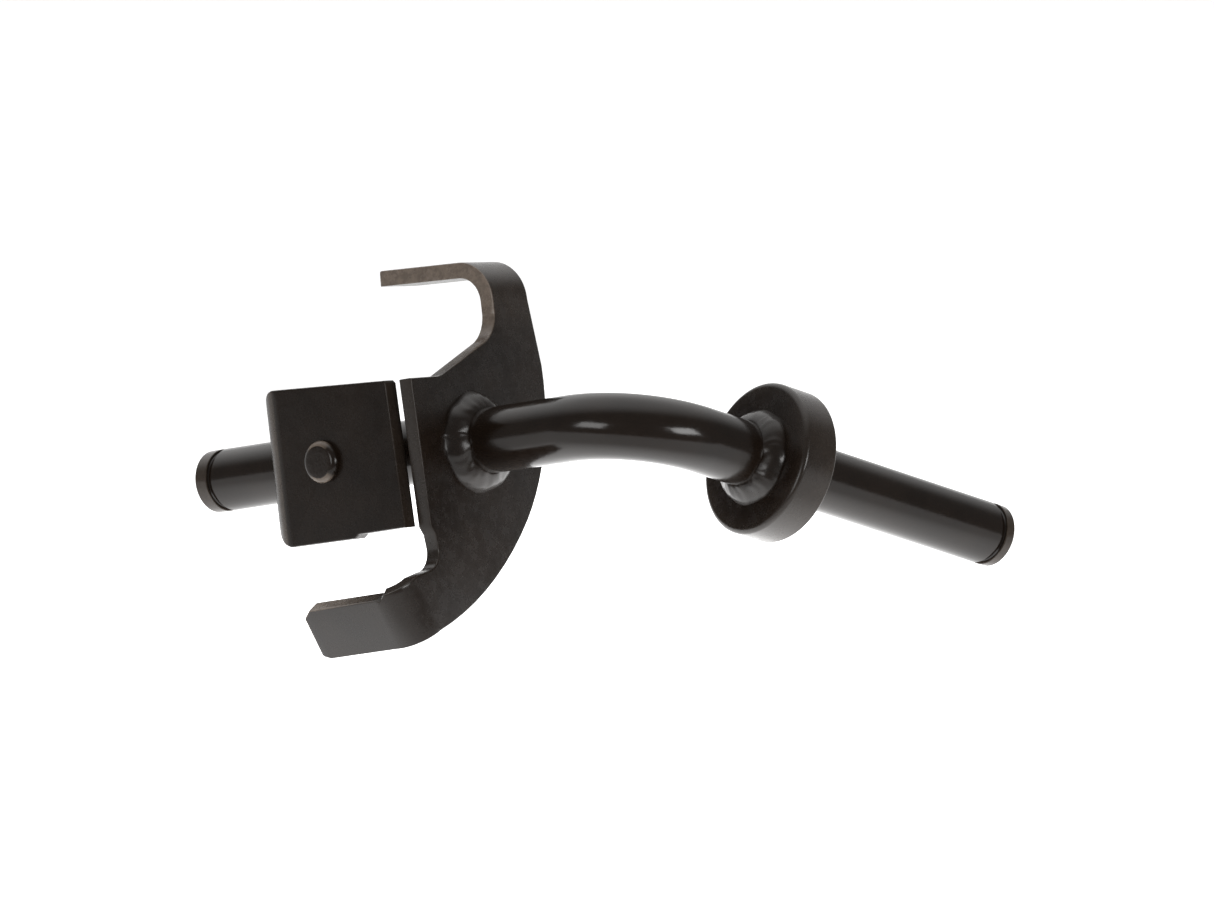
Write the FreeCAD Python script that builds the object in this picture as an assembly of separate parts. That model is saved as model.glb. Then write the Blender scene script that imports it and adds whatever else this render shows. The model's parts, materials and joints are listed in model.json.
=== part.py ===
import FreeCAD, Part
import math
import os
from FreeCAD import Vector

# Steering spindle weldment, in millimetres and degrees.
# Working frame: origin where the axes of the two straight legs cross, +Z out
# along the kingpin leg, +X towards the web of the angle bracket, +Y towards
# the upper finger of the fork plate.  The finished pieces are turned into the
# bench frame (+Z up, standing on three points) at the end.

# --- bent bar ---------------------------------------------------------
bar_d = 19.4             # 3/4 in hot-rolled bar, a little over size
journal_d = 19.05        # both ends turned clean to 3/4 in
leg_angle = 101.4        # between the two leg axes
axle_turn = -161.6       # heading of the wheel leg about the kingpin axis
bend_r = 30.2            # bend radius on the bar axis
king_len = 167.2         # crossing point to the end face of the kingpin leg
axle_len = 142.8         # crossing point to the end face of the wheel leg
end_chamfer = 1.45
groove_d = 16.7          # snap-ring groove floor
groove_w = 2.2
king_groove = 159.2      # inboard side of the kingpin groove
axle_groove = 136.4      # inboard side of the wheel groove

# --- sheet ------------------------------------------------------------
sheet_t = 4.76           # 3/16 in plate

# --- fork plate -------------------------------------------------------
fork_at = 59.8           # face on the bend side
fork_near_top = (26.6, 19.9)    # ends of the straight edge by the bracket
fork_near_low = (25.2, -23.3)
upper_ri = 7.8           # inside bend radius of each finger
lower_ri = 5.2
upper_open = 3.1         # each finger stands this much past square
lower_open = 2.5
upper_w0 = -14.0         # sides of the upper arm and finger
upper_w1 = -30.5
upper_bend_y = 42.2      # where the upper arm starts to bend
upper_tip = 43.1         # finger tip, measured from the bend-side face
upper_clip = 0.9         # corners cut off the tip
lower_dir = -28.0        # heading of the lower finger's broad face
lower_bend = 48.0        # bend start, from the bar axis along lower_dir
lower_t0 = -17.1         # sides of the lower arm where it bends
lower_t1 = -35.5
lower_f0 = -18.2         # sides of the lower finger itself
lower_f1 = -34.8
lower_notch = 8.2        # depth at which the upper side steps in
lower_tip = 37.5

# --- angle bracket ----------------------------------------------------
web_in_x = 24.6          # inside face of the web
web_end_top = 67.6       # free end of the web, a little out of square
web_end_low = 66.2
web_top = 22.6
web_low = -24.3
ang_ro = 10.4            # outside bend radius
flange_out = 120.8       # outer (thrust) face of the flange
flange_half = 17.0       # half width and end radius of the flange
button_z = 94.8          # button in the web
button_y = -0.6
button_d = 12.6
button_hole = 8.0
button_h = 2.6
button_shoulder = 1.9

# --- collar and welds -------------------------------------------------
collar_at = 45.2         # face on the bend side
collar_t = 12.0
collar_d = 45.6
collar_edge_r = 1.6
collar_back_r = 0.8
collar_weld_r = 14.3
collar_weld_h = 5.2
fork_weld_r = 15.0
fork_weld_h = 5.0
fork_weld_split = 12.0   # heading of the joint between the two runs
flange_weld_r = 13.8
flange_weld_h = 4.4
bead_bulge = 0.8         # crown of a bead above its straight chord

# --- bench frame ------------------------------------------------------
plan_turn = 6.1          # turn of the line between the two ends, in plan
settle_rounds = 40       # enough for the resting plane to stop moving

RB = bar_d / 2.0
RJ = journal_d / 2.0
ZED = Vector(0, 0, 1)
ORIGIN = Vector(0, 0, 0)
HALF_RIGHT = math.sin(math.radians(45.0))
PAST = 60.0              # longer than any cut has to reach


# --- helpers ----------------------------------------------------------
def heading(deg):
    a = math.radians(deg)
    return Vector(math.cos(a), math.sin(a), 0)


def wheel_dir():
    a = math.radians(leg_angle)
    h = heading(axle_turn)
    return Vector(h.x * math.sin(a), h.y * math.sin(a), math.cos(a))


def along(direction):
    """Placement whose Z axis is the given direction."""
    return FreeCAD.Placement(ORIGIN, FreeCAD.Rotation(ZED, direction))


def outline(steps, point):
    """Closed face.  A step is a corner (a, b), or an arc [(a, b), (a, b)] through
    its first point to its second.  point(a, b) puts the pair in space."""
    here = point(*steps[0])
    edges = []
    for step in steps[1:]:
        if isinstance(step, list):
            mid, end = [point(*pair) for pair in step]
            edges.append(Part.Arc(here, mid, end).toShape())
        else:
            end = point(*step)
            edges.append(Part.makeLine(here, end))
        here = end
    edges.append(Part.makeLine(here, point(*steps[0])))
    return Part.Face(Part.Wire(edges))


def in_xy(x, y):
    return Vector(x, y, 0)


def in_xz(x, z):
    return Vector(x, 0, z)


def in_zy(z, y):
    return Vector(0, y, z)


def corner_round(a, b, r, turn_a, turn_b):
    """Arc step that rounds the corner (a, b) by r; turn_a and turn_b are the
    signs of the arc's centre from the corner."""
    ca = a + turn_a * r
    cb = b + turn_b * r
    mid = (ca - turn_a * r * HALF_RIGHT, cb - turn_b * r * HALF_RIGHT)
    return ca, cb, mid


def revolved(steps):
    """Solid of revolution about Z from (radius, height) steps."""
    return outline(steps, in_xz).revolve(ORIGIN, ZED, 360)


def bar_hole(z):
    """Cutter for the bar's hole in a plate near the given height."""
    return Part.makeCylinder(RB, PAST, ZED * (z - PAST / 2.0))


# --- bent bar ---------------------------------------------------------
def tangent_length():
    return bend_r / math.tan(math.radians(leg_angle) / 2.0)


def leg(length, journal, groove):
    """Straight leg: rough bar up to the journal, then the groove and chamfer."""
    start = tangent_length()
    floor = groove_d / 2.0
    return revolved([
        (0, start),
        (RB, start),
        (RB, journal),
        (RJ, journal),
        (RJ, groove),
        (floor, groove),
        (floor, groove + groove_w),
        (RJ, groove + groove_w),
        (RJ, length - end_chamfer),
        (RJ - end_chamfer, length),
        (0, length),
    ])


def elbow():
    wheel = wheel_dir()
    start = tangent_length()
    bisector = (ZED + wheel).normalize()
    centre = bisector * (bend_r / math.sin(math.radians(leg_angle) / 2.0))
    axis = wheel.cross(ZED).normalize()
    disc = Part.Face(Part.Wire(Part.makeCircle(RB, ZED * start, ZED)))
    return disc.revolve(centre, axis, 180.0 - leg_angle)


def spindle_bar():
    king = leg(king_len, flange_out, king_groove)
    wheel = leg(axle_len, collar_at + collar_t, axle_groove)
    wheel.Placement = along(wheel_dir())
    return king.fuse([elbow(), wheel]).removeSplitter()


# --- fork plate -------------------------------------------------------
def bent_tab(origin, out, side, width, tip, past_square, ri):
    """Bend and finger: starts at origin, runs out, then turns back in +Z."""
    ro = ri + sheet_t
    turn = math.radians(90.0 - past_square)
    run = (tip - ro + ro * math.cos(turn)) / math.sin(turn)

    def at(a, b):
        return origin + out * a + ZED * b

    def ring(r, angle):
        return r * math.sin(angle), ro - r * math.cos(angle)

    def beyond(point):
        return point[0] + run * math.cos(turn), point[1] + run * math.sin(turn)

    face = outline([
        ring(ro, 0),
        [ring(ro, turn / 2.0), ring(ro, turn)],
        beyond(ring(ro, turn)),
        beyond(ring(ri, turn)),
        ring(ri, turn),
        [ring(ri, turn / 2.0), ring(ri, 0)],
    ], at)
    return face.extrude(side * width)


def upper_finger():
    """Finger of even width, its two tip corners clipped."""
    origin = Vector(upper_w0, upper_bend_y, fork_at)
    side = Vector(-1, 0, 0)
    width = upper_w0 - upper_w1
    body = bent_tab(origin, Vector(0, 1, 0), side, width, upper_tip, upper_open, upper_ri)
    base = fork_at - 1.0
    end = fork_at + upper_tip
    keep = outline([
        (upper_w0, base),
        (upper_w0, end - upper_clip),
        (upper_w0 - upper_clip, end + 1.0),
        (upper_w1 + upper_clip, end + 1.0),
        (upper_w1, end - upper_clip),
        (upper_w1, base),
    ], in_xz)
    return body.common(keep.extrude(Vector(0, 2 * PAST, 0)))


def lower_finger():
    """Finger that steps in from the arm's width and narrows at the tip."""
    out = heading(lower_dir)
    across = heading(lower_dir + 90.0)
    origin = out * lower_bend + across * lower_t0 + ZED * fork_at
    width = lower_t0 - lower_t1
    body = bent_tab(origin, out, across * -1, width, lower_tip, lower_open, lower_ri)

    def at(depth, t):
        return across * t + ZED * (fork_at + depth)

    keep = outline([
        (-1.0, lower_t0),
        (lower_notch - 2.0, lower_t0),
        (lower_notch, lower_f0 - 0.6),
        (lower_notch + 0.9, lower_f0),
        (lower_tip - 3.0, lower_f0),
        (lower_tip - 0.2, lower_f0 - 2.2),
        (lower_tip + 1.0, lower_f0 - 4.5),
        (lower_tip + 1.0, lower_f1 + 2.4),
        (lower_tip - 0.6, lower_f1 + 0.9),
        (lower_tip - 2.6, lower_f1),
        (lower_notch + 2.0, lower_f1),
        (0.0, lower_t1),
        (-1.0, lower_t1),
    ], at)
    return body.common(keep.extrude(out * 2 * PAST))


def fork_face():
    """Flat plate between the two bends, round the bar's hole."""
    out = heading(lower_dir)
    across = heading(lower_dir + 90.0)
    low_in = out * lower_bend + across * lower_t0
    low_out = out * lower_bend + across * lower_t1
    return outline([
        (upper_w0, upper_bend_y),
        (upper_w0, 38.0),
        [(-12.2, 33.1), (-7.8, 29.5)],
        (12.2, 20.7),
        [(13.6, 20.2), (15.2, 20.1)],
        fork_near_top,
        fork_near_low,
        (23.6, -25.8),
        (23.0, -30.0),
        [(24.4, -34.2), (28.6, -36.3)],
        (low_in.x, low_in.y),
        (low_out.x, low_out.y),
        [(1.4, -42.3), (-19.3, -23.8)],
        [(-30.9, -2.0), (-33.7, 22.0)],
        (upper_w1, upper_bend_y),
    ], in_xy)


def fork_plate():
    flat = fork_face().extrude(ZED * sheet_t)
    flat.translate(ZED * fork_at)
    flat = flat.cut(bar_hole(fork_at))
    return flat.fuse([upper_finger(), lower_finger()]).removeSplitter()


# --- angle bracket ----------------------------------------------------
def bracket_section():
    """L profile of the bracket in the X-Z plane, drawn out along Y."""
    outer = web_in_x + sheet_t
    ri = ang_ro - sheet_t
    bx = outer - ang_ro
    bz = flange_out - ang_ro
    back = flange_out - sheet_t
    body = outline([
        (outer, web_end_low),
        (outer, bz),
        [(bx + ang_ro * HALF_RIGHT, bz + ang_ro * HALF_RIGHT), (bx, flange_out)],
        (-flange_half, flange_out),
        (-flange_half, back),
        (bx, back),
        [(bx + ri * HALF_RIGHT, bz + ri * HALF_RIGHT), (web_in_x, bz)],
        (web_in_x, web_end_low),
    ], in_xz).extrude(Vector(0, 2 * PAST, 0))
    body.translate(Vector(0, -PAST, 0))
    return body


def bracket_side():
    """Side view of the bracket in the Z-Y plane, drawn out along X."""
    beyond = flange_out + 2.0
    body = outline([
        (web_end_low, -23.0),
        (web_end_top, 19.3),
        (web_end_top + 0.8, 20.2),
        (113.2, web_top),
        [(117.3, 20.9), (119.2, flange_half)],
        (beyond, flange_half),
        (beyond, -flange_half),
        (118.6, -flange_half),
        [(116.3, -21.9), (111.6, web_low)],
        (86.0, web_low),
        (84.5, -23.2),
    ], in_zy).extrude(Vector(2 * PAST, 0, 0))
    body.translate(Vector(-PAST, 0, 0))
    return body


def angle_bracket():
    body = bracket_section().common(bracket_side())
    under = flange_out - 8.0
    square = Part.makeBox(PAST, 2 * PAST, PAST, Vector(-PAST, -PAST, under))
    round_end = Part.makeCylinder(flange_half, PAST, ZED * under)
    body = body.cut(square.cut(round_end))
    body = body.cut(bar_hole(flange_out))
    seat = Vector(0, button_y, button_z)
    hole = Part.makeCylinder(button_hole / 2.0, PAST, seat, Vector(1, 0, 0))
    return body.cut(hole).removeSplitter()


def web_button():
    """Flat-topped button with a round shoulder, its shank filling the hole."""
    rim = button_d / 2.0
    shank = button_hole / 2.0
    top = sheet_t + button_h
    a, b, mid = corner_round(rim, top, button_shoulder, -1, -1)
    body = revolved([
        (0, 0),
        (shank, 0),
        (shank, sheet_t),
        (rim, sheet_t),
        (rim, b),
        [mid, (a, top)],
        (0, top),
    ])
    turn = FreeCAD.Rotation(ZED, Vector(1, 0, 0))
    seat = Vector(web_in_x, button_y, button_z)
    body.Placement = FreeCAD.Placement(seat, turn)
    return body


# --- collar -----------------------------------------------------------
def thrust_collar():
    """Thick ring with both outer edges rounded."""
    rim = collar_d / 2.0
    z0 = collar_at
    z1 = collar_at + collar_t
    a0, b0, mid0 = corner_round(rim, z0, collar_edge_r, -1, 1)
    a1, b1, mid1 = corner_round(rim, z1, collar_back_r, -1, -1)
    body = revolved([
        (RB, z0),
        (a0, z0),
        [mid0, (rim, b0)],
        (rim, b1),
        [mid1, (a1, z1)],
        (RB, z1),
    ])
    body.Placement = along(wheel_dir())
    return body


# --- weld beads -------------------------------------------------------
def fillet_bead(outer_r, height, start, sweep):
    """Convex fillet bead round the bar: root face at Z = 0, crown in -Z."""
    crown = ((RB + outer_r) / 2.0 + bead_bulge, -height / 2.0 - bead_bulge)
    face = outline([(RB, 0), (outer_r, 0), [crown, (RB, -height)]], in_xz)
    face.rotate(ORIGIN, ZED, start)
    return face.revolve(ORIGIN, ZED, sweep)


def fork_weld(start):
    bead = fillet_bead(fork_weld_r, fork_weld_h, start, 180)
    bead.translate(ZED * fork_at)
    return bead


def flange_weld():
    bead = fillet_bead(flange_weld_r, flange_weld_h, 0, 360)
    bead.translate(ZED * (flange_out - sheet_t))
    return bead


def collar_weld():
    bead = fillet_bead(collar_weld_r, collar_weld_h, 0, 360)
    bead.translate(ZED * collar_at)
    bead.Placement = along(wheel_dir()).multiply(bead.Placement)
    return bead


# --- bench frame ------------------------------------------------------
def lowest_on_rim(direction, length, down):
    """Lowest point of the outer rim at the end of a leg."""
    centre = direction * (length - end_chamfer)
    radial = down - direction * down.dot(direction)
    return centre + radial.normalize() * RJ


def lowest_corner(shape, down):
    return max((v.Point for v in shape.Vertexes), key=lambda p: p.dot(down))


def table_normal(plate):
    """Unit vector into the table when both leg ends and a finger touch it."""
    down = Vector(0.1, -0.9, 0.4).normalize()
    for _ in range(settle_rounds):
        a = lowest_on_rim(ZED, king_len, down)
        b = lowest_on_rim(wheel_dir(), axle_len, down)
        c = lowest_corner(plate, down)
        normal = (b - a).cross(c - a).normalize()
        down = normal if normal.dot(down) > 0 else normal * -1
    return down


def bench_rotation(plate):
    """Turn into the bench frame, the line between the two ends near +X."""
    up = table_normal(plate) * -1
    span = wheel_dir() * axle_len - ZED * king_len
    level = (span - up * span.dot(up)).normalize()
    x = FreeCAD.Rotation(up, plan_turn).multVec(level)
    y = up.cross(x)
    rows = [x.x, x.y, x.z, 0, y.x, y.y, y.z, 0, up.x, up.y, up.z, 0, 0, 0, 0, 1]
    return FreeCAD.Placement(FreeCAD.Matrix(*rows))


def write(name, shape):
    """One STEP file for one sound solid."""
    assert len(shape.Solids) == 1, name
    solid = shape.Solids[0]
    assert solid.isValid(), name
    solid.exportStep("parts/" + name + ".step")
    print(name, round(solid.Volume), "mm3")


def main():
    nodes = {
        "spindle_bar": spindle_bar(),
        "fork_plate": fork_plate(),
        "angle_bracket": angle_bracket(),
        "web_button": web_button(),
        "thrust_collar": thrust_collar(),
        "collar_weld": collar_weld(),
        "fork_weld_upper": fork_weld(fork_weld_split),
        "fork_weld_lower": fork_weld(fork_weld_split + 180.0),
        "flange_weld": flange_weld(),
    }
    turn = bench_rotation(nodes["fork_plate"])
    for shape in nodes.values():
        shape.Placement = turn.multiply(shape.Placement)
    box = Part.makeCompound(list(nodes.values())).optimalBoundingBox(False, False)
    shift = Vector(-box.Center.x, -box.Center.y, -box.ZMin)
    os.makedirs("parts", exist_ok=True)
    for name, shape in nodes.items():
        shape.translate(shift)
        write(name, shape)
    print("box", box.XLength, box.YLength, box.ZLength)
    print("corner", turn.multVec(ORIGIN) + shift)
    print("king", turn.multVec(ZED))
    print("wheel", turn.multVec(wheel_dir()))
    print("near", turn.multVec(Vector(1, 0, 0)))
    print("upper", turn.multVec(Vector(0, 1, 0)))


main()
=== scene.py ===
import json
import math
import random

import bmesh
import bpy
from mathutils import Matrix, Quaternion, Vector, noise


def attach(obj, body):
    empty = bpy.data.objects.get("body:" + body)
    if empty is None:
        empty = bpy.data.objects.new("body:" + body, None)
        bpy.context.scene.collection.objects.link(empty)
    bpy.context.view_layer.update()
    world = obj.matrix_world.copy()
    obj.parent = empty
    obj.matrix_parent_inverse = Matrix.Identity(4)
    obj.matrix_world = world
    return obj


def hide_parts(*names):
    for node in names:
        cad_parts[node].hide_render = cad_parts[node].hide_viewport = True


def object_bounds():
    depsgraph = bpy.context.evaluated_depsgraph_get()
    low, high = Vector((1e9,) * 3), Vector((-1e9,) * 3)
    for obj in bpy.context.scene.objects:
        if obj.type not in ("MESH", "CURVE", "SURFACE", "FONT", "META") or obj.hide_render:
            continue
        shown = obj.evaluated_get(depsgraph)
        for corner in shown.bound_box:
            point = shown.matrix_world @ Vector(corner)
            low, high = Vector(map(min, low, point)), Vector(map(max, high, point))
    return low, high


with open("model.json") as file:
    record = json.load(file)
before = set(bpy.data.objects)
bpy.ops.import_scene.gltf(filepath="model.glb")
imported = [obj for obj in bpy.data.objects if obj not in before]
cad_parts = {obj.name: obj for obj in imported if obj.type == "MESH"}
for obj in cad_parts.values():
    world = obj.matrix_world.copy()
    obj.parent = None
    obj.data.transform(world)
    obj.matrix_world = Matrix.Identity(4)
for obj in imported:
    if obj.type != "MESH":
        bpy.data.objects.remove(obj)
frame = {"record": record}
cad_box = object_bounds()

# Looks of a welded steering spindle.  Meshes are built in millimetres in the
# spindle's own frame (origin where the axes of the two legs cross, +Z along the
# kingpin leg, +X towards the bracket's web, +Y towards the upper finger) and
# then put in the row frame.

MM = 0.001               # a millimetre in the row frame's metres

# --- bent bar, in millimetres and degrees like all the sizes below --------
BAR_R = 9.7              # between the journals
JOURNAL_R = 9.525        # on both journals
LEG_ANGLE = 101.4        # between the axes of the two legs
AXLE_TURN = -161.6       # heading of the wheel leg about the kingpin axis
BEND_R = 30.2            # bend radius on the bar's axis
BEND_STEPS = 60
KING_LEN = 167.2         # crossing point to the end face of the kingpin leg
AXLE_LEN = 142.8         # crossing point to the end face of the wheel leg
CHAMFER = 1.45
GROOVE_R = 8.35          # floor of a snap-ring groove
GROOVE_W = 2.2
GROOVE_FILLET = 0.3
KING_GROOVE = 159.2      # inboard side of the kingpin leg's groove
AXLE_GROOVE = 136.4      # inboard side of the wheel leg's groove
EDGE_BREAK = 0.14        # turned edges are broken by this much

# --- sheet ------------------------------------------------------------------
SHEET = 4.76             # thickness of both sheets
NEUTRAL = 0.45           # depth in a bend, from its inside, that keeps its length
EDGE_ROLL = 0.55         # rounding of a cut edge on the side the cut started from
EDGE_BURR = 0.22         # rounding of a cut edge on the other side
RIM_WEAR_AND_SHEEN = 0.06          # how far the paint is worn along a cut edge, partly a painted highlight line

# --- fork plate -------------------------------------------------------------
FORK_AT = 59.8           # face on the bend side
UPPER_RI = 7.8           # inside bend radius of each finger
LOWER_RI = 5.2
UPPER_TURN = 86.9        # angle that each finger is bent through
LOWER_TURN = 87.5
UPPER_BEND = 42.2        # where the upper arm starts to bend
UPPER_TIP = 43.1         # depth of the finger's tip behind the bend-side face
UPPER_NEAR = -14.0       # side of the upper arm and finger nearer to the web
UPPER_FAR = -30.5        # their other side
UPPER_CLIP = 0.43        # width of the corners cut off the tip
LOWER_DIR = -28.0        # heading of the lower finger's broad face
LOWER_BEND = 48.0        # bend start, from the bar's axis along LOWER_DIR
ARM_TOP = -17.1          # upper side of the lower arm where it bends
ARM_LOW = -35.5          # its lower side
FINGER_TOP = -18.2       # upper side of the lower finger itself
FINGER_LOW = -34.8       # its lower side
LOWER_NOTCH = 8.2        # depth at which the upper side steps in
LOWER_TIP = 37.5         # depth of the lower finger's tip

# --- angle bracket and button -----------------------------------------------
WEB_OUT_X = 29.36        # outer face of the web
WEB_END_TOP = 67.6       # free end of the web, a little out of square
WEB_END_LOW = 66.2
WEB_TOP = 22.6
WEB_LOW = -24.3
ANG_RO = 10.4            # outside bend radius
FLANGE_OUT = 120.8       # outer face of the flange
FLANGE_HALF = 17.0       # half width and end radius of the flange
BUTTON_Z = 94.8
BUTTON_Y = -0.6
BUTTON_R = 6.3
BUTTON_HOLE_R = 4.0
BUTTON_H = 2.6
BUTTON_SHOULDER = 1.9

# --- collar and welds -------------------------------------------------------
COLLAR_AT = 45.2         # face on the bend side
COLLAR_T = 12.0
COLLAR_R = 22.8
NEAR_ROUND = 1.6         # rounding of the collar's rim on the bend side
FAR_ROUND = 0.8          # rounding of the rim on the other side
FORK_WELD = (15.0, 5.0)  # outer radius on the wall, length along the bar
FLANGE_WELD = (13.8, 4.4)
COLLAR_WELD = (14.3, 5.2)
BEAD_ROW = 0.16          # spacing of a bead's rows along its outer toe
BEAD_COLS = 26           # steps from toe to toe
BEAD_ROOT = 0.6          # how far a bead reaches into the bar
BEAD_CROWN = 0.9         # height above the straight line between the toes
BEAD_RIPPLE = 0.055
BEAD_LUMP = 0.20
END_TAPER = 1.2          # length of a run's tapered end, in ripples
FULL_TURN = (0.0, 360.0)

# --- frame of the spindle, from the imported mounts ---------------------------
mounts = {m["name"]: m for m in frame["record"]["mounts"]}


def mount_line(name):
    m = mounts[name]
    return Vector(m["pos_m"]), Vector(m["axis"]).normalized()


def crossing(p, a, q, b):
    """Point on the line p + a t nearest to the line q + b s."""
    n = a.cross(b)
    return p + a * ((q - p).cross(b).dot(n) / n.length_squared)


def frame_matrix(x, y, z, origin):
    axes = Matrix((x, y, z)).transposed().to_4x4()
    return Matrix.Translation(origin) @ axes @ Matrix.Scale(MM, 4)


king_at, KING = mount_line("kingpin_journal")
wheel_at, WHEEL = mount_line("wheel_journal")
CORNER = crossing(king_at, KING, wheel_at, WHEEL)
wheel_across = (WHEEL - KING * WHEEL.dot(KING)).normalized()
TO_WEB = Quaternion(KING, math.radians(-AXLE_TURN)) @ wheel_across
TO_UPPER = KING.cross(TO_WEB)
SPINDLE = frame_matrix(TO_WEB, TO_UPPER, KING, CORNER)
WHEEL_TOP = (Vector((0, 0, 1)) - WHEEL * WHEEL.z).normalized()
WHEEL_FRAME = frame_matrix(WHEEL_TOP, WHEEL.cross(WHEEL_TOP), WHEEL, CORNER)


# --- node helpers -----------------------------------------------------------
class Nodes:
    """Small helper that adds nodes to a material and links them."""

    def __init__(self, name):
        self.material = bpy.data.materials.new(name)
        self.material.use_nodes = True
        self.tree = self.material.node_tree
        self.tree.nodes.clear()
        self.coords = self.add("ShaderNodeTexCoord").outputs["Object"]

    def add(self, kind, **settings):
        node = self.tree.nodes.new(kind)
        for key, value in settings.items():
            setattr(node, key, value)
        return node

    def link(self, source, target):
        self.tree.links.new(source, target)

    def noise(self, cells, detail=3.0, rough=0.5):
        """Noise with a number of cells to the metre."""
        node = self.add("ShaderNodeTexNoise")
        node.inputs["Scale"].default_value = cells
        node.inputs["Detail"].default_value = detail
        node.inputs["Roughness"].default_value = rough
        self.link(self.coords, node.inputs["Vector"])
        return node.outputs["Fac"]

    def ramp(self, fac, low, high, a, b):
        """Map fac from low..high to a..b, clamped and smooth."""
        node = self.add("ShaderNodeMapRange", interpolation_type="SMOOTHSTEP")
        node.inputs["From Min"].default_value = low
        node.inputs["From Max"].default_value = high
        node.inputs["To Min"].default_value = a
        node.inputs["To Max"].default_value = b
        self.link(fac, node.inputs["Value"])
        return node.outputs["Result"]

    def times(self, a, b):
        """Product of a socket and a number or another socket."""
        node = self.add("ShaderNodeMath", operation="MULTIPLY")
        self.link(a, node.inputs[0])
        if isinstance(b, float):
            node.inputs[1].default_value = b
        else:
            self.link(b, node.inputs[1])
        return node.outputs["Value"]

    def oval_distance(self, half):
        """Distance from the middle, as a share of an ellipse's half-sizes."""
        scale = self.add("ShaderNodeVectorMath", operation="MULTIPLY")
        scale.inputs[1].default_value = (1.0 / half[0], 1.0 / half[1], 0.0)
        self.link(self.coords, scale.inputs[0])
        size = self.add("ShaderNodeVectorMath", operation="LENGTH")
        self.link(scale.outputs["Vector"], size.inputs[0])
        return size.outputs["Value"]

    def mix(self, fac, a, b):
        """Mix two colours; each is a tuple or a socket."""
        node = self.add("ShaderNodeMix", data_type="RGBA")
        self.link(fac, node.inputs["Factor"])
        for socket, value in ((node.inputs["A"], a), (node.inputs["B"], b)):
            if isinstance(value, tuple):
                socket.default_value = (*value, 1.0)
            else:
                self.link(value, socket)
        return node.outputs["Result"]

    def bump(self, height, distance, strength=1.0, normal=None):
        node = self.add("ShaderNodeBump")
        node.inputs["Distance"].default_value = distance
        node.inputs["Strength"].default_value = strength
        self.link(height, node.inputs["Height"])
        if normal is not None:
            self.link(normal, node.inputs["Normal"])
        return node.outputs["Normal"]

    def finish(self, color, roughness, normal, specular=0.5):
        """Add the shader and the output, and return the shader."""
        shader = self.add("ShaderNodeBsdfPrincipled")
        self.link(color, shader.inputs["Base Color"])
        self.link(roughness, shader.inputs["Roughness"])
        self.link(normal, shader.inputs["Normal"])
        shader.inputs["Specular IOR Level"].default_value = specular
        out = self.add("ShaderNodeOutputMaterial")
        self.link(shader.outputs["BSDF"], out.inputs["Surface"])
        return shader


# --- paint ------------------------------------------------------------------
PAINT_DARK = (0.0080, 0.0048, 0.0030)
PAINT_LIGHT = (0.0135, 0.0085, 0.0056)
DUST = (0.04, 0.034, 0.028)
WORN_AND_SHEEN = (0.250, 0.198, 0.158)    # brown steel where the paint is thin, also used as painted highlight on lit edges and faces
TONE_CELLS = 55.0               # noise cells to the metre
DUST_CELLS = 1900.0
WEAR_AND_SHEEN_CELLS = 420.0
GLOSS_CELLS = 260.0
PEEL_CELLS = 850.0
GRIT_CELLS = 3600.0
PEEL_HEIGHT = 0.00006           # metres, at a grain of 1
GRIT_HEIGHT = 0.000012

# Roughness from and to, height of the grain, specular level, and how much of
# the wear and painted highlight that the mesh carries shows: all of it, unless given.
PAINTS = {
    "bar_paint": {"rough": (0.13, 0.19), "grain": 0.3, "specular": 0.40, "wear": 0.24},
    "plate_paint": {"rough": (0.22, 0.30), "grain": 0.3, "specular": 0.44},
    "bracket_paint": {"rough": (0.22, 0.30), "grain": 0.3, "specular": 0.24},
    "button_paint": {"rough": (0.16, 0.24), "grain": 0.5, "specular": 0.34},
    "collar_paint": {"rough": (0.22, 0.30), "grain": 0.4, "specular": 0.44, "wear": 0.13},
    "weld_paint": {"rough": (0.20, 0.29), "grain": 0.4, "specular": 0.42},
}
MATERIALS = {}


def paint(name, rough, grain, specular, wear=1.0):
    """Black paint on steel: slow tone shifts, orange peel, dust specks and
    brown steel along worn edges, the same brown also painting highlights on lit places."""
    n = Nodes(name)
    tone = n.ramp(n.noise(TONE_CELLS, 4.0, 0.6), 0.3, 0.7, 0.0, 1.0)
    color = n.mix(tone, PAINT_DARK, PAINT_LIGHT)
    dust = n.ramp(n.noise(DUST_CELLS, 2.0, 0.5), 0.70, 0.78, 0.0, 0.25)
    color = n.mix(dust, color, DUST)
    edge = n.add("ShaderNodeAttribute", attribute_name="edge").outputs["Fac"]
    patch = n.ramp(n.noise(WEAR_AND_SHEEN_CELLS, 4.0, 0.7), 0.36, 0.62, 0.70, 1.0)
    # brown by the mesh's edge mask: real edge wear, and painted highlights where the mask marks lit
    # edges, bends and shoulders
    color = n.mix(n.times(n.times(edge, patch), wear), color, WORN_AND_SHEEN)
    gloss = n.ramp(n.noise(GLOSS_CELLS, 5.0, 0.65), 0.3, 0.7, *rough)
    peel = n.noise(PEEL_CELLS, 3.0, 0.55)
    grit = n.noise(GRIT_CELLS, 2.0, 0.5)
    normal = n.bump(peel, PEEL_HEIGHT * grain, 0.9)
    normal = n.bump(grit, GRIT_HEIGHT * grain, 0.7, normal)
    n.finish(color, gloss, normal, specular)
    return n.material


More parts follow.
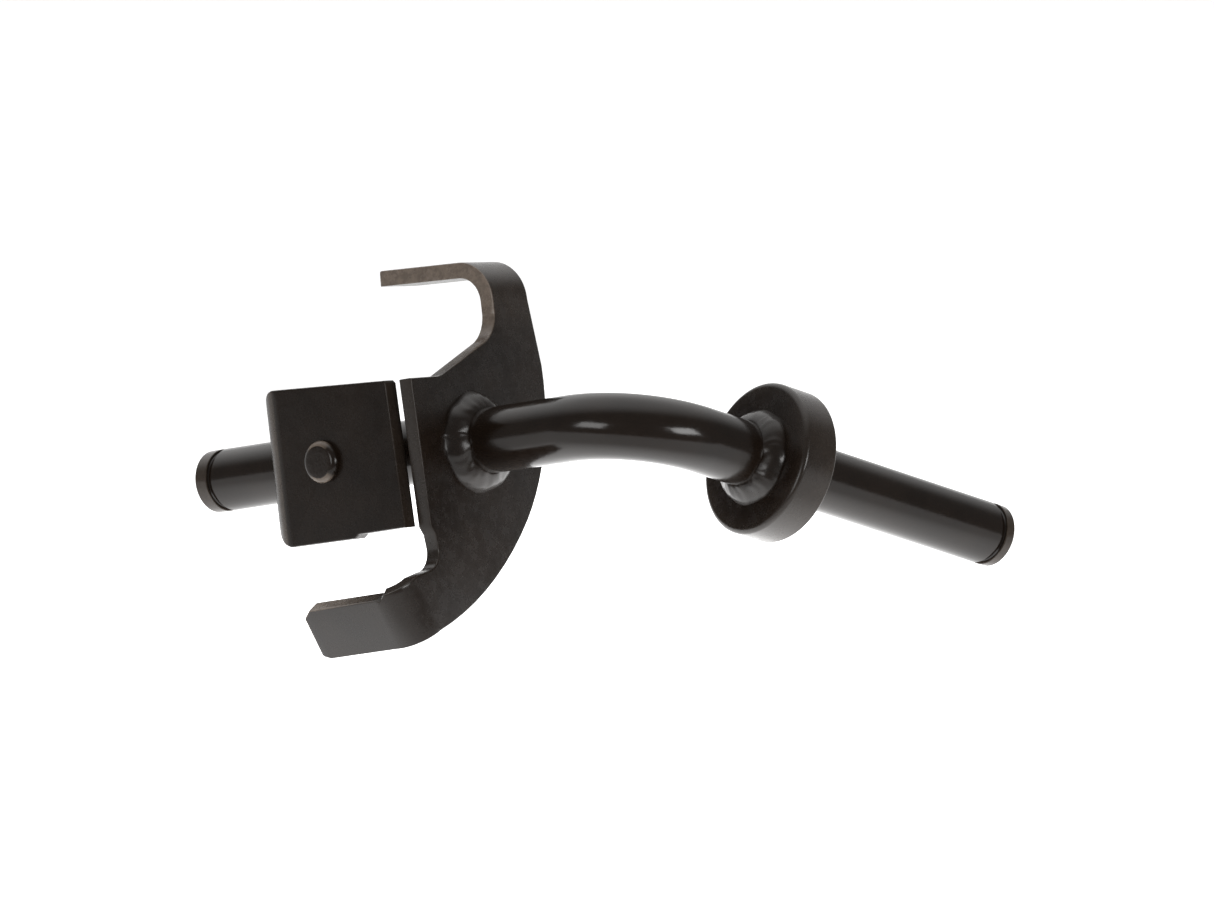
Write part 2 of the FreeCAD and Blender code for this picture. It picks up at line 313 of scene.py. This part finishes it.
# --- plane outlines ---------------------------------------------------------
def arc_points(a, mid, b, step_deg=4.0):
    """Points after a, up to b, on the circle through three plane points."""
    ax, ay = a
    bx, by = mid
    cx, cy = b
    d = 2.0 * (ax * (by - cy) + bx * (cy - ay) + cx * (ay - by))
    qa, qb, qc = ax * ax + ay * ay, bx * bx + by * by, cx * cx + cy * cy
    ox = (qa * (by - cy) + qb * (cy - ay) + qc * (ay - by)) / d
    oy = (qa * (cx - bx) + qb * (ax - cx) + qc * (bx - ax)) / d
    r = math.hypot(ax - ox, ay - oy)
    t0 = math.atan2(ay - oy, ax - ox)
    tm = (math.atan2(by - oy, bx - ox) - t0) % math.tau
    t1 = (math.atan2(cy - oy, cx - ox) - t0) % math.tau
    sweep = t1 if tm < t1 else t1 - math.tau
    count = max(2, math.ceil(abs(math.degrees(sweep)) / step_deg))
    angles = [t0 + sweep * i / count for i in range(1, count + 1)]
    return [(ox + r * math.cos(t), oy + r * math.sin(t)) for t in angles]


def outline(steps):
    """Plane loop, anticlockwise.  A step is a corner (a, b) or an arc
    [(a, b), (a, b)] through its first point to its second."""
    points = [steps[0]]
    for step in steps[1:]:
        if isinstance(step, list):
            points += arc_points(points[-1], step[0], step[1])
        else:
            points.append(step)
    area = sum(p[0] * q[1] - q[0] * p[1] for p, q in zip(points, points[1:] + points[:1]))
    return points if area > 0 else points[::-1]


def ring_points(x, y, r, count=72):
    turn = [math.tau * i / count for i in range(count)]
    return [(x + r * math.cos(t), y + r * math.sin(t)) for t in turn]


def inset(points, distance):
    """The loop moved inwards (to the left of its edges) by a distance."""
    out = []
    mitre_limit = 0.35
    count = len(points)
    for i in range(count):
        p = Vector(points[i])
        before = (p - Vector(points[i - 1])).normalized()
        after = (Vector(points[(i + 1) % count]) - p).normalized()
        n0 = Vector((-before.y, before.x))
        n1 = Vector((-after.y, after.x))
        out.append(p + (n0 + n1) * (distance / max(mitre_limit, 1.0 + n0.dot(n1))))
    return [(p.x, p.y) for p in out]


def even_steps(start, end, count):
    return [start + (end - start) * i / count for i in range(count + 1)]


def quarter_turn(steps):
    """Sine and cosine of evenly spaced angles from 0 to 90 degrees."""
    angles = [math.pi / 2.0 * i / steps for i in range(steps + 1)]
    return [(math.sin(t), math.cos(t)) for t in angles]


# --- mesh helpers -----------------------------------------------------------
def edge_layer(bm):
    """The vertices' wear and painted highlight, which the paint reads as the attribute "edge"."""
    return bm.verts.layers.float.get("edge") or bm.verts.layers.float.new("edge")


def vertex_loop(bm, points, wear=0.0):
    layer = edge_layer(bm)
    loop = [bm.verts.new(point) for point in points]
    for vert in loop:
        vert[layer] = wear
    return loop


def strip(bm, loops):
    """Quads between neighbouring closed loops of vertices."""
    for low, high in zip(loops, loops[1:]):
        count = len(low)
        for i in range(count):
            j = (i + 1) % count
            bm.faces.new((low[i], low[j], high[j], high[i]))


def tube(bm, loops):
    """Quads between the loops, and a face over each end."""
    strip(bm, loops)
    bm.faces.new(loops[0][::-1])
    bm.faces.new(loops[-1])


def revolve(profile, count):
    """Loops of vertices round the Z axis at (radius, height, wear) points."""
    bm = bmesh.new()
    loops = []
    for r, z, wear in profile:
        ring = [(x, y, z) for x, y in ring_points(0, 0, r, count)]
        loops.append(vertex_loop(bm, ring, wear))
    return bm, loops


def piece(name, bm, place, slot, node, sharp=38.0):
    """Turn a finished mesh into a shown piece that stands for a CAD node."""
    bmesh.ops.recalc_face_normals(bm, faces=bm.faces)
    mesh = bpy.data.meshes.new(name)
    bm.to_mesh(mesh)
    bm.free()
    mesh.transform(place)
    mesh.shade_smooth()
    mesh.set_sharp_from_angle(angle=math.radians(sharp))
    mesh.materials.append(MATERIALS[slot])
    obj = bpy.data.objects.new(name, mesh)
    bpy.context.scene.collection.objects.link(obj)
    even = obj.modifiers.new("even_shading", "WEIGHTED_NORMAL")
    even.keep_sharp = True
    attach(obj, "root")
    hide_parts(node)


# --- sheet helpers ----------------------------------------------------------
def rim(bm, points, worn):
    """Cut edge of a sheet: rolled over on one face, nearly sharp on the other."""
    half_way = 1.0 - math.sqrt(0.5)
    profile = [
        (EDGE_ROLL, 0.0, 0.0),
        (EDGE_ROLL * half_way, EDGE_ROLL * half_way, worn),
        (0.0, EDGE_ROLL, worn),
        (0.0, SHEET - EDGE_BURR, worn),
        (EDGE_BURR * half_way, SHEET - EDGE_BURR * half_way, worn),
        (EDGE_BURR, SHEET, 0.0),
    ]
    loops = []
    for distance, height, wear in profile:
        ring = [(x, y, height) for x, y in inset(points, distance)]
        loops.append(vertex_loop(bm, ring, wear))
    strip(bm, loops)
    return loops[0], loops[-1]


def loop_edges(bm, loop):
    return [bm.edges.get((loop[i - 1], loop[i])) for i in range(len(loop))]


def sheet_blank(outer, holes):
    """Flat sheet with cut edges and holes, lying from z = 0 to z = SHEET."""
    bm = bmesh.new()
    lows, highs = [], []
    for points in [outer] + [hole[::-1] for hole in holes]:
        # outer cut edges get the brown line: worn paint and partly a painted highlight
        worn = RIM_WEAR_AND_SHEEN if points is outer else 0.0
        low, high = rim(bm, points, worn)
        lows += loop_edges(bm, low)
        highs += loop_edges(bm, high)
    bmesh.ops.triangle_fill(bm, edges=lows, use_beauty=True, normal=(0, 0, -1))
    bmesh.ops.triangle_fill(bm, edges=highs, use_beauty=True, normal=(0, 0, 1))
    return bm


def cut_across(bm, direction, places):
    """Add edges across the sheet at places along a direction."""
    normal = Vector(direction)
    for place in places:
        geom = bm.verts[:] + bm.edges[:] + bm.faces[:]
        bmesh.ops.bisect_plane(bm, geom=geom, plane_co=normal * place, plane_no=normal)


# --- bent bar ---------------------------------------------------------------
BEND_START = BEND_R / math.tan(math.radians(LEG_ANGLE) / 2.0)


def leg_profile(length, journal, groove):
    """(distance, radius, wear) along one leg, from its bend to its end face."""
    groove_end = groove + GROOVE_W
    chamfer_at = length - CHAMFER
    end_r = JOURNAL_R - CHAMFER
    return [
        (BEND_START, BAR_R, 0.0),
        (journal - 0.2, BAR_R, 0.0),
        (journal, JOURNAL_R, 0.0),
        (groove - 2.0, JOURNAL_R, 0.0),
        (groove - EDGE_BREAK, JOURNAL_R, 0.0),
        (groove, JOURNAL_R - EDGE_BREAK, 1.0),
        (groove, GROOVE_R + GROOVE_FILLET, 0.0),
        (groove + GROOVE_FILLET, GROOVE_R, 0.0),
        (groove_end - GROOVE_FILLET, GROOVE_R, 0.0),
        (groove_end, GROOVE_R + GROOVE_FILLET, 0.0),
        (groove_end, JOURNAL_R - EDGE_BREAK, 1.0),
        (groove_end + EDGE_BREAK, JOURNAL_R, 0.6),
        (chamfer_at - EDGE_BREAK, JOURNAL_R, 0.6),
        (chamfer_at + EDGE_BREAK, JOURNAL_R - EDGE_BREAK, 1.0),
        (length - EDGE_BREAK, end_r + EDGE_BREAK, 1.0),
        (length, end_r - EDGE_BREAK, 0.3),
        (length, end_r - 2.0, 0.0),
    ]


def wheel_direction():
    """Direction of the wheel leg in the spindle's frame."""
    turn = math.radians(AXLE_TURN)
    tilt = math.radians(LEG_ANGLE)
    return Vector((math.cos(turn) * math.sin(tilt), math.sin(turn) * math.sin(tilt), math.cos(tilt)))


def bar_stations():
    """(centre, tangent, radius, wear) from the kingpin end to the wheel end,
    and the direction that the bar is bent about."""
    king = Vector((0, 0, 1))
    wheel = wheel_direction()
    tilt = math.radians(LEG_ANGLE)
    centre = (king + wheel).normalized() * (BEND_R / math.sin(tilt / 2.0))
    axis = wheel.cross(king).normalized()
    stations = []
    for at, r, wear in reversed(leg_profile(KING_LEN, FLANGE_OUT, KING_GROOVE)):
        stations.append((king * at, king * -1, r, wear))
    for i in range(1, BEND_STEPS):
        spin = Quaternion(axis, (math.pi - tilt) * i / BEND_STEPS)
        on_axis = centre + spin @ (king * BEND_START - centre)
        stations.append((on_axis, spin @ (king * -1), BAR_R, 0.0))
    for at, r, wear in leg_profile(AXLE_LEN, COLLAR_AT + COLLAR_T, AXLE_GROOVE):
        stations.append((wheel * at, wheel, r, wear))
    return stations, axis


def spindle_bar():
    bm = bmesh.new()
    stations, side = bar_stations()
    loops = []
    for centre, tangent, r, wear in stations:
        up = tangent.cross(side)
        ring = [centre + up * x + side * y for x, y in ring_points(0, 0, r, 128)]
        loops.append(vertex_loop(bm, ring, wear))
    tube(bm, loops)
    piece("bent_bar", bm, SPINDLE, "bar_paint", "spindle_bar")


# --- fork plate -------------------------------------------------------------
class Bend:
    """Bend of one finger: its outside radius, the radius that keeps its length,
    and where it starts and ends along the flat blank."""

    def __init__(self, inside, degrees, start, out):
        self.outer = inside + SHEET
        self.neutral = inside + NEUTRAL * SHEET
        self.turn = math.radians(degrees)
        self.start = start
        self.end = start + self.neutral * self.turn
        self.out = Vector((math.cos(math.radians(out)), math.sin(math.radians(out)), 0.0))

    def reach(self, depth):
        """Place along the flat blank that ends up at a given depth behind
        the plate's face on the bend side."""
        bent = self.outer * (1.0 - math.cos(self.turn))
        if depth <= bent:
            return self.start + self.neutral * math.acos(1.0 - depth / self.outer)
        return self.end + (depth - bent) / math.sin(self.turn)

    def apply(self, bm):
        """Roll the part of the sheet beyond the bend line round into a finger."""
        cut_across(bm, self.out, even_steps(self.start, self.end, 24))
        for vert in bm.verts:
            length = vert.co.dot(self.out) - self.start
            if length <= 0.0:
                continue
            angle = min(length / self.neutral, self.turn)
            rest = max(0.0, length - self.neutral * self.turn)
            r = self.outer - vert.co.z
            away = r * math.sin(angle) + rest * math.cos(angle)
            vert.co += self.out * (away - length)
            vert.co.z = self.outer - r * math.cos(angle) + rest * math.sin(angle)


UPPER_ARM = Bend(UPPER_RI, UPPER_TURN, UPPER_BEND, 90.0)
LOWER_ARM = Bend(LOWER_RI, LOWER_TURN, LOWER_BEND, LOWER_DIR)
LOWER_ACROSS = Vector((-LOWER_ARM.out.y, LOWER_ARM.out.x, 0.0))


def lower_point(depth, across):
    """Point of the blank by its depth down the lower finger and its place
    across the finger."""
    p = LOWER_ARM.out * LOWER_ARM.reach(depth) + LOWER_ACROSS * across
    return p.x, p.y


def fork_outline():
    upper = UPPER_ARM.reach(UPPER_TIP)
    return outline([
        # Upper arm's side nearer to the web, then the edge out to the web.
        (UPPER_NEAR, UPPER_BEND),
        (UPPER_NEAR, 38.0),
        [(-12.2, 33.1), (-7.8, 29.5)],
        (12.2, 20.7),
        [(13.6, 20.2), (15.2, 20.1)],
        (26.6, 19.9),
        # Straight edge beside the web, and the throat below it.
        (25.2, -23.3),
        (23.6, -25.8),
        (23.0, -30.0),
        [(24.4, -34.2), (28.6, -36.3)],
        # Lower finger, round its tip.
        lower_point(0.0, ARM_TOP),
        lower_point(LOWER_NOTCH - 2.0, ARM_TOP),
        lower_point(LOWER_NOTCH, FINGER_TOP - 0.6),
        lower_point(LOWER_NOTCH + 0.9, FINGER_TOP),
        lower_point(LOWER_TIP - 3.0, FINGER_TOP),
        lower_point(LOWER_TIP - 0.2, FINGER_TOP - 2.2),
        lower_point(LOWER_TIP, FINGER_TOP - 2.6),
        lower_point(LOWER_TIP, FINGER_LOW + 1.5),
        lower_point(LOWER_TIP - 0.6, FINGER_LOW + 0.9),
        lower_point(LOWER_TIP - 2.6, FINGER_LOW),
        lower_point(LOWER_NOTCH + 2.0, FINGER_LOW),
        lower_point(0.0, ARM_LOW),
        # Round back of the plate, up to the upper finger and round its tip.
        [(1.4, -42.3), (-19.3, -23.8)],
        [(-30.9, -2.0), (-33.7, 22.0)],
        (UPPER_FAR, UPPER_BEND),
        (UPPER_FAR, upper - 2 * UPPER_CLIP),
        (UPPER_FAR + UPPER_CLIP, upper),
        (UPPER_NEAR - UPPER_CLIP, upper),
        (UPPER_NEAR, upper - 2 * UPPER_CLIP),
    ])


ARM_EDGE_FROM = 24.0     # heights from which the painted highlight on the upper arm's edge and face starts
ARM_FACE_FROM = 28.0
ARM_EDGE_FADE = 16.0     # heights over which that painted highlight grows
ARM_FACE_FADE = 12.0
ARM_FACE_SHEEN = 0.07
BRIGHT_EDGE = 0.9
SHEEN_LINES = (26.0, 32.0, 38.0)     # extra edges for the painted highlight to grow along


def paint_fork_highlights(bm):
    """Painted highlight in the brown worn colour: the sheared edge on the upper
    arm's side towards the web, a little of that arm's face, and the lower
    finger's top edge."""
    layer = edge_layer(bm)
    for vert in bm.verts:
        up = vert.co.y
        sheared = vert[layer] > 0.0
        past_bend = vert.co.dot(LOWER_ARM.out) > LOWER_ARM.end
        on_top = vert.co.dot(LOWER_ACROSS) > FINGER_TOP - 3.0
        # painted highlight: brown worn colour on the upper arm's edge and face and on the lower finger's
        # top edge
        if sheared and up > ARM_EDGE_FROM and vert.co.x > UPPER_NEAR - 6.0:
            vert[layer] = min(BRIGHT_EDGE, 0.25 + 0.65 * (up - ARM_EDGE_FROM) / ARM_EDGE_FADE)
        elif up > ARM_FACE_FROM:
            face = ARM_FACE_SHEEN * (up - ARM_FACE_FROM) / ARM_FACE_FADE
            vert[layer] = max(vert[layer], min(ARM_FACE_SHEEN, face))
        elif sheared and past_bend and on_top:
            vert[layer] = BRIGHT_EDGE


def fork_plate():
    bm = sheet_blank(fork_outline(), [ring_points(0, 0, BAR_R)])
    cut_across(bm, (0.0, 1.0, 0.0), SHEEN_LINES)
    paint_fork_highlights(bm)
    for arm in (UPPER_ARM, LOWER_ARM):
        arm.apply(bm)
    bm.transform(Matrix.Translation((0, 0, FORK_AT)))
    piece("fork_plate_sheet", bm, SPINDLE, "plate_paint", "fork_plate")


# --- angle bracket ----------------------------------------------------------
BRACKET_RN = ANG_RO - (1.0 - NEUTRAL) * SHEET        # radius that keeps its length
BRACKET_BZ = FLANGE_OUT - ANG_RO                     # centre of the bend
BRACKET_BX = WEB_OUT_X - ANG_RO
FLANGE_AT = BRACKET_BZ + BRACKET_RN * math.pi / 2.0  # along the blank: bend's end
FLANGE_ZERO = FLANGE_AT + BRACKET_BX                 # along the blank: bar's axis
BEND_SHEEN = 0.18
BEND_SHEEN_FROM = 0.12    # shares of the bend's length between which a painted highlight band lies
BEND_SHEEN_TO = 0.32


def bracket_length(z):
    """Length along the flat blank that ends up at height z up the web."""
    if z <= BRACKET_BZ:
        return z
    return BRACKET_BZ + BRACKET_RN * math.asin((z - BRACKET_BZ) / ANG_RO)


def bracket_outline():
    return outline([
        (WEB_END_LOW, -23.0),
        (WEB_END_TOP, 19.3),
        (WEB_END_TOP + 0.8, 20.2),
        (bracket_length(113.2), WEB_TOP),
        [(bracket_length(117.3), 20.9), (bracket_length(119.2), FLANGE_HALF)],
        (FLANGE_ZERO, FLANGE_HALF),
        [(FLANGE_ZERO + FLANGE_HALF, 0.0), (FLANGE_ZERO, -FLANGE_HALF)],
        (bracket_length(118.6), -FLANGE_HALF),
        [(bracket_length(116.3), -21.9), (bracket_length(111.6), WEB_LOW)],
        (86.0, WEB_LOW),
        (84.5, -23.2),
    ])


def bend_bracket(bm):
    """Stand the web up and turn the flange over round the bend."""
    for vert in bm.verts:
        along, y, depth = vert.co
        angle = min(max((along - BRACKET_BZ) / BRACKET_RN, 0.0), math.pi / 2.0)
        r = ANG_RO - depth
        x = BRACKET_BX + r * math.cos(angle) - max(0.0, along - FLANGE_AT)
        z = min(along, BRACKET_BZ) + r * math.sin(angle)
        vert.co = (x, y, z)


def angle_bracket():
    holes = [
        ring_points(BUTTON_Z, BUTTON_Y, BUTTON_HOLE_R, 48),
        ring_points(FLANGE_ZERO, 0.0, BAR_R),
    ]
    bm = sheet_blank(bracket_outline(), holes)
    cut_across(bm, (1.0, 0.0, 0.0), even_steps(BRACKET_BZ, FLANGE_AT, 20))
    layer = edge_layer(bm)
    # painted highlight: a band of the brown worn colour part way round the bend
    for vert in bm.verts:
        share = (vert.co.x - BRACKET_BZ) / (FLANGE_AT - BRACKET_BZ)
        if BEND_SHEEN_FROM < share < BEND_SHEEN_TO:
            vert[layer] = BEND_SHEEN
    bend_bracket(bm)
    piece("angle_bracket_sheet", bm, SPINDLE, "bracket_paint", "angle_bracket")


# --- button -----------------------------------------------------------------
SHEEN_LOOPS = slice(5, 14)     # loops of the shoulder that carry the painted highlights
MOST_SHEEN = 0.7


def paint_shoulder_highlights(bm, loops):
    """Painted highlights in the brown worn colour on the shoulder's sides towards the two fingers."""
    layer = edge_layer(bm)
    # painted highlights: brown on the shoulder's top and bottom sides
    for loop in loops[SHEEN_LOOPS]:
        for vert in loop:
            share = abs(vert.co.x) / Vector((vert.co.x, vert.co.y, 0.0)).length
            vert[layer] = min(MOST_SHEEN, max(0.0, share - 0.66) * 3.0)


def web_button():
    """Flat-topped button with a round shoulder, its shank filling the hole."""
    top = SHEET + BUTTON_H
    flat_r = BUTTON_R - BUTTON_SHOULDER
    flat_z = top - BUTTON_SHOULDER
    shank_r = BUTTON_HOLE_R - 0.02
    profile = [(shank_r, 0.1, 0.0), (shank_r, SHEET, 0.0), (BUTTON_R, SHEET + 0.01, 0.0)]
    for sine, cosine in quarter_turn(12):
        profile.append((flat_r + BUTTON_SHOULDER * cosine, flat_z + BUTTON_SHOULDER * sine, 0.0))
    profile.append((flat_r - 1.5, top - 0.02, 0.0))
    bm, loops = revolve(profile, 96)
    tube(bm, loops)
    paint_shoulder_highlights(bm, loops)
    place = frame_matrix(TO_UPPER, KING, TO_WEB, CORNER)
    seat = Matrix.Translation((BUTTON_Y, BUTTON_Z, WEB_OUT_X - SHEET))
    piece("web_button_head", bm, place @ seat, "button_paint", "web_button")


# --- collar -----------------------------------------------------------------
def thrust_collar():
    """Thick washer with a rounded rim, most worn on the side off the bend."""
    near = COLLAR_AT
    far = COLLAR_AT + COLLAR_T
    profile = [(BAR_R, near, 0.0), (COLLAR_R - NEAR_ROUND - 3.0, near, 0.0)]
    for sine, cosine in quarter_turn(8):
        r = COLLAR_R - NEAR_ROUND + NEAR_ROUND * sine
        profile.append((r, near + NEAR_ROUND - NEAR_ROUND * cosine, 0.25))
    for sine, cosine in quarter_turn(6):
        r = COLLAR_R - FAR_ROUND + FAR_ROUND * cosine
        profile.append((r, far - FAR_ROUND + FAR_ROUND * sine, 0.6))
    profile.append((BAR_R, far, 0.0))
    bm, loops = revolve(profile, 200)
    strip(bm, loops + loops[:1])
    piece("thrust_collar_ring", bm, WHEEL_FRAME, "collar_paint", "thrust_collar")


# --- weld beads -------------------------------------------------------------
def run_taper(f, ripples):
    """Size of a run's section at a share f of its length: full, but rounded
    off to almost nothing at each end."""
    to_end = min(f, 1.0 - f) * ripples
    if to_end >= END_TAPER:
        return 1.0
    return max(0.05, math.sqrt(max(0.0, 1.0 - (1.0 - to_end / END_TAPER) ** 2)))


def bead_section(side, size, taper, ripple, shift):
    """Points of one section of a fillet bead, from its toe on the wall to its
    toe on the bar, and back through the bar."""
    reach, height = size
    here = side * 1.5 + shift
    out_r = BAR_R + (reach - BAR_R) * taper * (1.0 + 0.16 * noise.noise(here * 1.3))
    low = height * taper * (1.0 + 0.16 * noise.noise(here * 1.3 + Vector((9, 4, 2))))
    crown = BEAD_CROWN * taper * (1.0 + 0.35 * noise.noise(here * 0.9 + Vector((1, 8, 5))))
    wall_toe = Vector((out_r, 0.0))
    bar_toe = Vector((BAR_R, -low))
    normal = Vector((low, -(out_r - BAR_R))).normalized()
    points = []
    for k in range(BEAD_COLS + 1):
        t = k / BEAD_COLS
        arch = math.sin(math.pi * t)
        phase = ripple + 0.55 * (arch - 0.5) + 0.5 * noise.noise(here * 1.6)
        wave = 0.5 + 0.5 * math.cos(math.tau * phase)
        lump = noise.noise(Vector((phase * 0.5, t * 1.5, 0.0)) + shift)
        rough = arch ** 0.5 * (BEAD_RIPPLE * wave + BEAD_LUMP * lump) * taper
        p = wall_toe.lerp(bar_toe, t) + normal * (arch ** 0.8 * crown + rough)
        points.append(side * p.x + Vector((0, 0, min(p.y, 0.0))))
    points.append(side * (BAR_R - BEAD_ROOT) + Vector((0, 0, -low)))
    points.append(side * (BAR_R - BEAD_ROOT))
    return points


def bead(name, node, place, size, span, pitch, seed):
    """Rippled fillet bead round the bar.  It grows from a wall at z = 0 towards
    -z; span is its start and end heading in degrees, and pitch the length of a
    ripple."""
    rnd = random.Random(seed)
    shift = Vector((rnd.uniform(0, 50), rnd.uniform(0, 50), rnd.uniform(0, 50)))
    start, end = (math.radians(a) for a in span)
    full = end - start > math.tau - 0.01
    rows = int((end - start) * size[0] / BEAD_ROW)
    ripples = (end - start) * (BAR_R + size[0]) / 2.0 / pitch
    bm = bmesh.new()
    loops = []
    for i in range(rows if full else rows + 1):
        f = i / rows
        angle = start + (end - start) * f
        side = Vector((math.cos(angle), math.sin(angle), 0.0))
        taper = 1.0 if full else run_taper(f, ripples)
        section = bead_section(side, size, taper, f * ripples, shift)
        loops.append(vertex_loop(bm, section))
    if full:
        strip(bm, loops + loops[:1])
    else:
        strip(bm, loops)
        bm.faces.new(loops[0])
        bm.faces.new(loops[-1][::-1])
    piece(name, bm, place, "weld_paint", node, sharp=60.0)


def welds():
    fork = SPINDLE @ Matrix.Translation((0, 0, FORK_AT))
    flange = SPINDLE @ Matrix.Translation((0, 0, FLANGE_OUT - SHEET))
    collar = WHEEL_FRAME @ Matrix.Translation((0, 0, COLLAR_AT))
    bead("fork_bead_upper", "fork_weld_upper", fork, FORK_WELD, (-4.0, 209.0), 3.1, 11)
    bead("fork_bead_lower", "fork_weld_lower", fork, FORK_WELD, (175.0, 388.0), 3.1, 23)
    bead("flange_bead", "flange_weld", flange, FLANGE_WELD, FULL_TURN, 3.0, 37)
    bead("collar_bead", "collar_weld", collar, COLLAR_WELD, FULL_TURN, 3.0, 41)


# --- stage, in metres and degrees -------------------------------------------
FLOOR_HALF = 4.0
POOL = (0.16, 0.13)      # half-size of the floor's glowing pool, a painted pool of light round the object
POOL_GLOW = 2.0
FLOOR_GLOW = 0.30        # glow of the floor away from the pool
BOX_SIZE = (0.62, 0.40)
BOX_DISTANCE = 1.5
ROOM_COLOR = (1.0, 0.995, 0.99, 1.0)
BRIGHT_SIDE = (-0.1, 0.7, 0.7)      # the room is brightest high up behind
ROOM_DIM = 0.20
ROOM_BRIGHT = 1.5


def stage_floor():
    bm = bmesh.new()
    half = FLOOR_HALF
    corners = ((-half, -half), (half, -half), (half, half), (-half, half))
    bm.faces.new([bm.verts.new((x, y, 0.0)) for x, y in corners])
    mesh = bpy.data.meshes.new("studio_floor")
    bm.to_mesh(mesh)
    bm.free()
    n = Nodes("floor_white")
    tone = n.ramp(n.noise(3.0), 0.3, 0.7, 0.0, 1.0)
    color = n.mix(tone, (0.92, 0.92, 0.92), (0.94, 0.94, 0.94))
    rough = n.ramp(n.noise(40.0), 0.3, 0.7, 0.55, 0.65)
    shader = n.finish(color, rough, n.bump(n.noise(200.0), 0.00002))
    shader.inputs["Emission Color"].default_value = (1.0, 1.0, 1.0, 1.0)
    # painted pool of light: the floor glows brightest round the object, which also hides its shadows
    glow = n.ramp(n.oval_distance(POOL), 0.45, 1.15, POOL_GLOW, FLOOR_GLOW)
    n.link(glow, shader.inputs["Emission Strength"])
    mesh.materials.append(n.material)
    floor = bpy.data.objects.new("studio_floor", mesh)
    bpy.context.scene.collection.objects.link(floor)


def softbox(name, azimuth, elevation, power, aim):
    """Area light that looks at the object from a direction in degrees."""
    light = bpy.data.lights.new(name, "AREA")
    light.shape = "RECTANGLE"
    light.size, light.size_y = BOX_SIZE
    light.energy = power
    az = math.radians(azimuth)
    el = math.radians(elevation)
    away = Vector((math.cos(el) * math.sin(az), -math.cos(el) * math.cos(az), math.sin(el)))
    facing = away.to_track_quat("Z", "Y").to_matrix().to_4x4()
    obj = bpy.data.objects.new(name, light)
    obj.matrix_world = Matrix.Translation(aim + away * BOX_DISTANCE) @ facing
    bpy.context.scene.collection.objects.link(obj)


def room():
    """White surroundings, dim in front of the object and bright behind it."""
    world = bpy.data.worlds.new("studio_world")
    bpy.context.scene.world = world
    world.use_nodes = True
    tree = world.node_tree
    back = tree.nodes["Background"]
    back.inputs["Color"].default_value = ROOM_COLOR
    toward = tree.nodes.new("ShaderNodeTexCoord")
    facing = tree.nodes.new("ShaderNodeVectorMath")
    facing.operation = "DOT_PRODUCT"
    facing.inputs[1].default_value = BRIGHT_SIDE
    wall = tree.nodes.new("ShaderNodeMapRange")
    wall.interpolation_type = "SMOOTHSTEP"
    wall.inputs["From Min"].default_value = 0.45
    wall.inputs["From Max"].default_value = 0.95
    wall.inputs["To Min"].default_value = ROOM_DIM
    wall.inputs["To Max"].default_value = ROOM_BRIGHT
    tree.links.new(toward.outputs["Generated"], facing.inputs[0])
    tree.links.new(facing.outputs["Value"], wall.inputs["Value"])
    tree.links.new(wall.outputs["Result"], back.inputs["Strength"])


# --- camera -----------------------------------------------------------------
SENSOR = 36.0            # width, in millimetres
LENS = 148.27
VIEW_TURN = 0.581        # degrees to the right of straight ahead
VIEW_DROP = 28.750       # degrees looking down
VIEW_ROLL = 1.182        # degrees
VIEW_DISTANCE = 1.4320   # metres to the aim point
AIM_SHIFT = Vector((0.00041, -0.04515, 0.02255))     # from the CAD box's middle


def camera(aim):
    turn, drop, roll = (math.radians(a) for a in (VIEW_TURN, VIEW_DROP, VIEW_ROLL))
    forward = Vector((math.sin(turn) * math.cos(drop), math.cos(turn) * math.cos(drop), -math.sin(drop)))
    level = forward.cross(Vector((0, 0, 1))).normalized()
    up = level.cross(forward)
    right = level * math.cos(roll) + up * math.sin(roll)
    data = bpy.data.cameras.new("photo_camera")
    data.lens = LENS
    data.sensor_width = SENSOR
    data.sensor_fit = "HORIZONTAL"
    data.clip_start = 0.05
    obj = bpy.data.objects.new("photo_camera", data)
    axes = Matrix((right, right.cross(forward), forward * -1)).transposed().to_4x4()
    obj.matrix_world = Matrix.Translation(aim - forward * VIEW_DISTANCE) @ axes
    bpy.context.scene.collection.objects.link(obj)
    bpy.context.scene.camera = obj


def main():
    low, high = cad_box
    centre = (Vector(low) + Vector(high)) / 2.0
    camera(centre + AIM_SHIFT)
    room()
    softbox("left_box", -43.0, 25.0, 3.6, centre)
    softbox("right_box", 45.0, 27.0, 6.0, centre)
    stage_floor()
    for slot, look in PAINTS.items():
        MATERIALS[slot] = paint(slot, **look)
    spindle_bar()
    fork_plate()
    angle_bracket()
    web_button()
    thrust_collar()
    welds()
    bpy.context.scene.view_settings.view_transform = "Standard"


main()
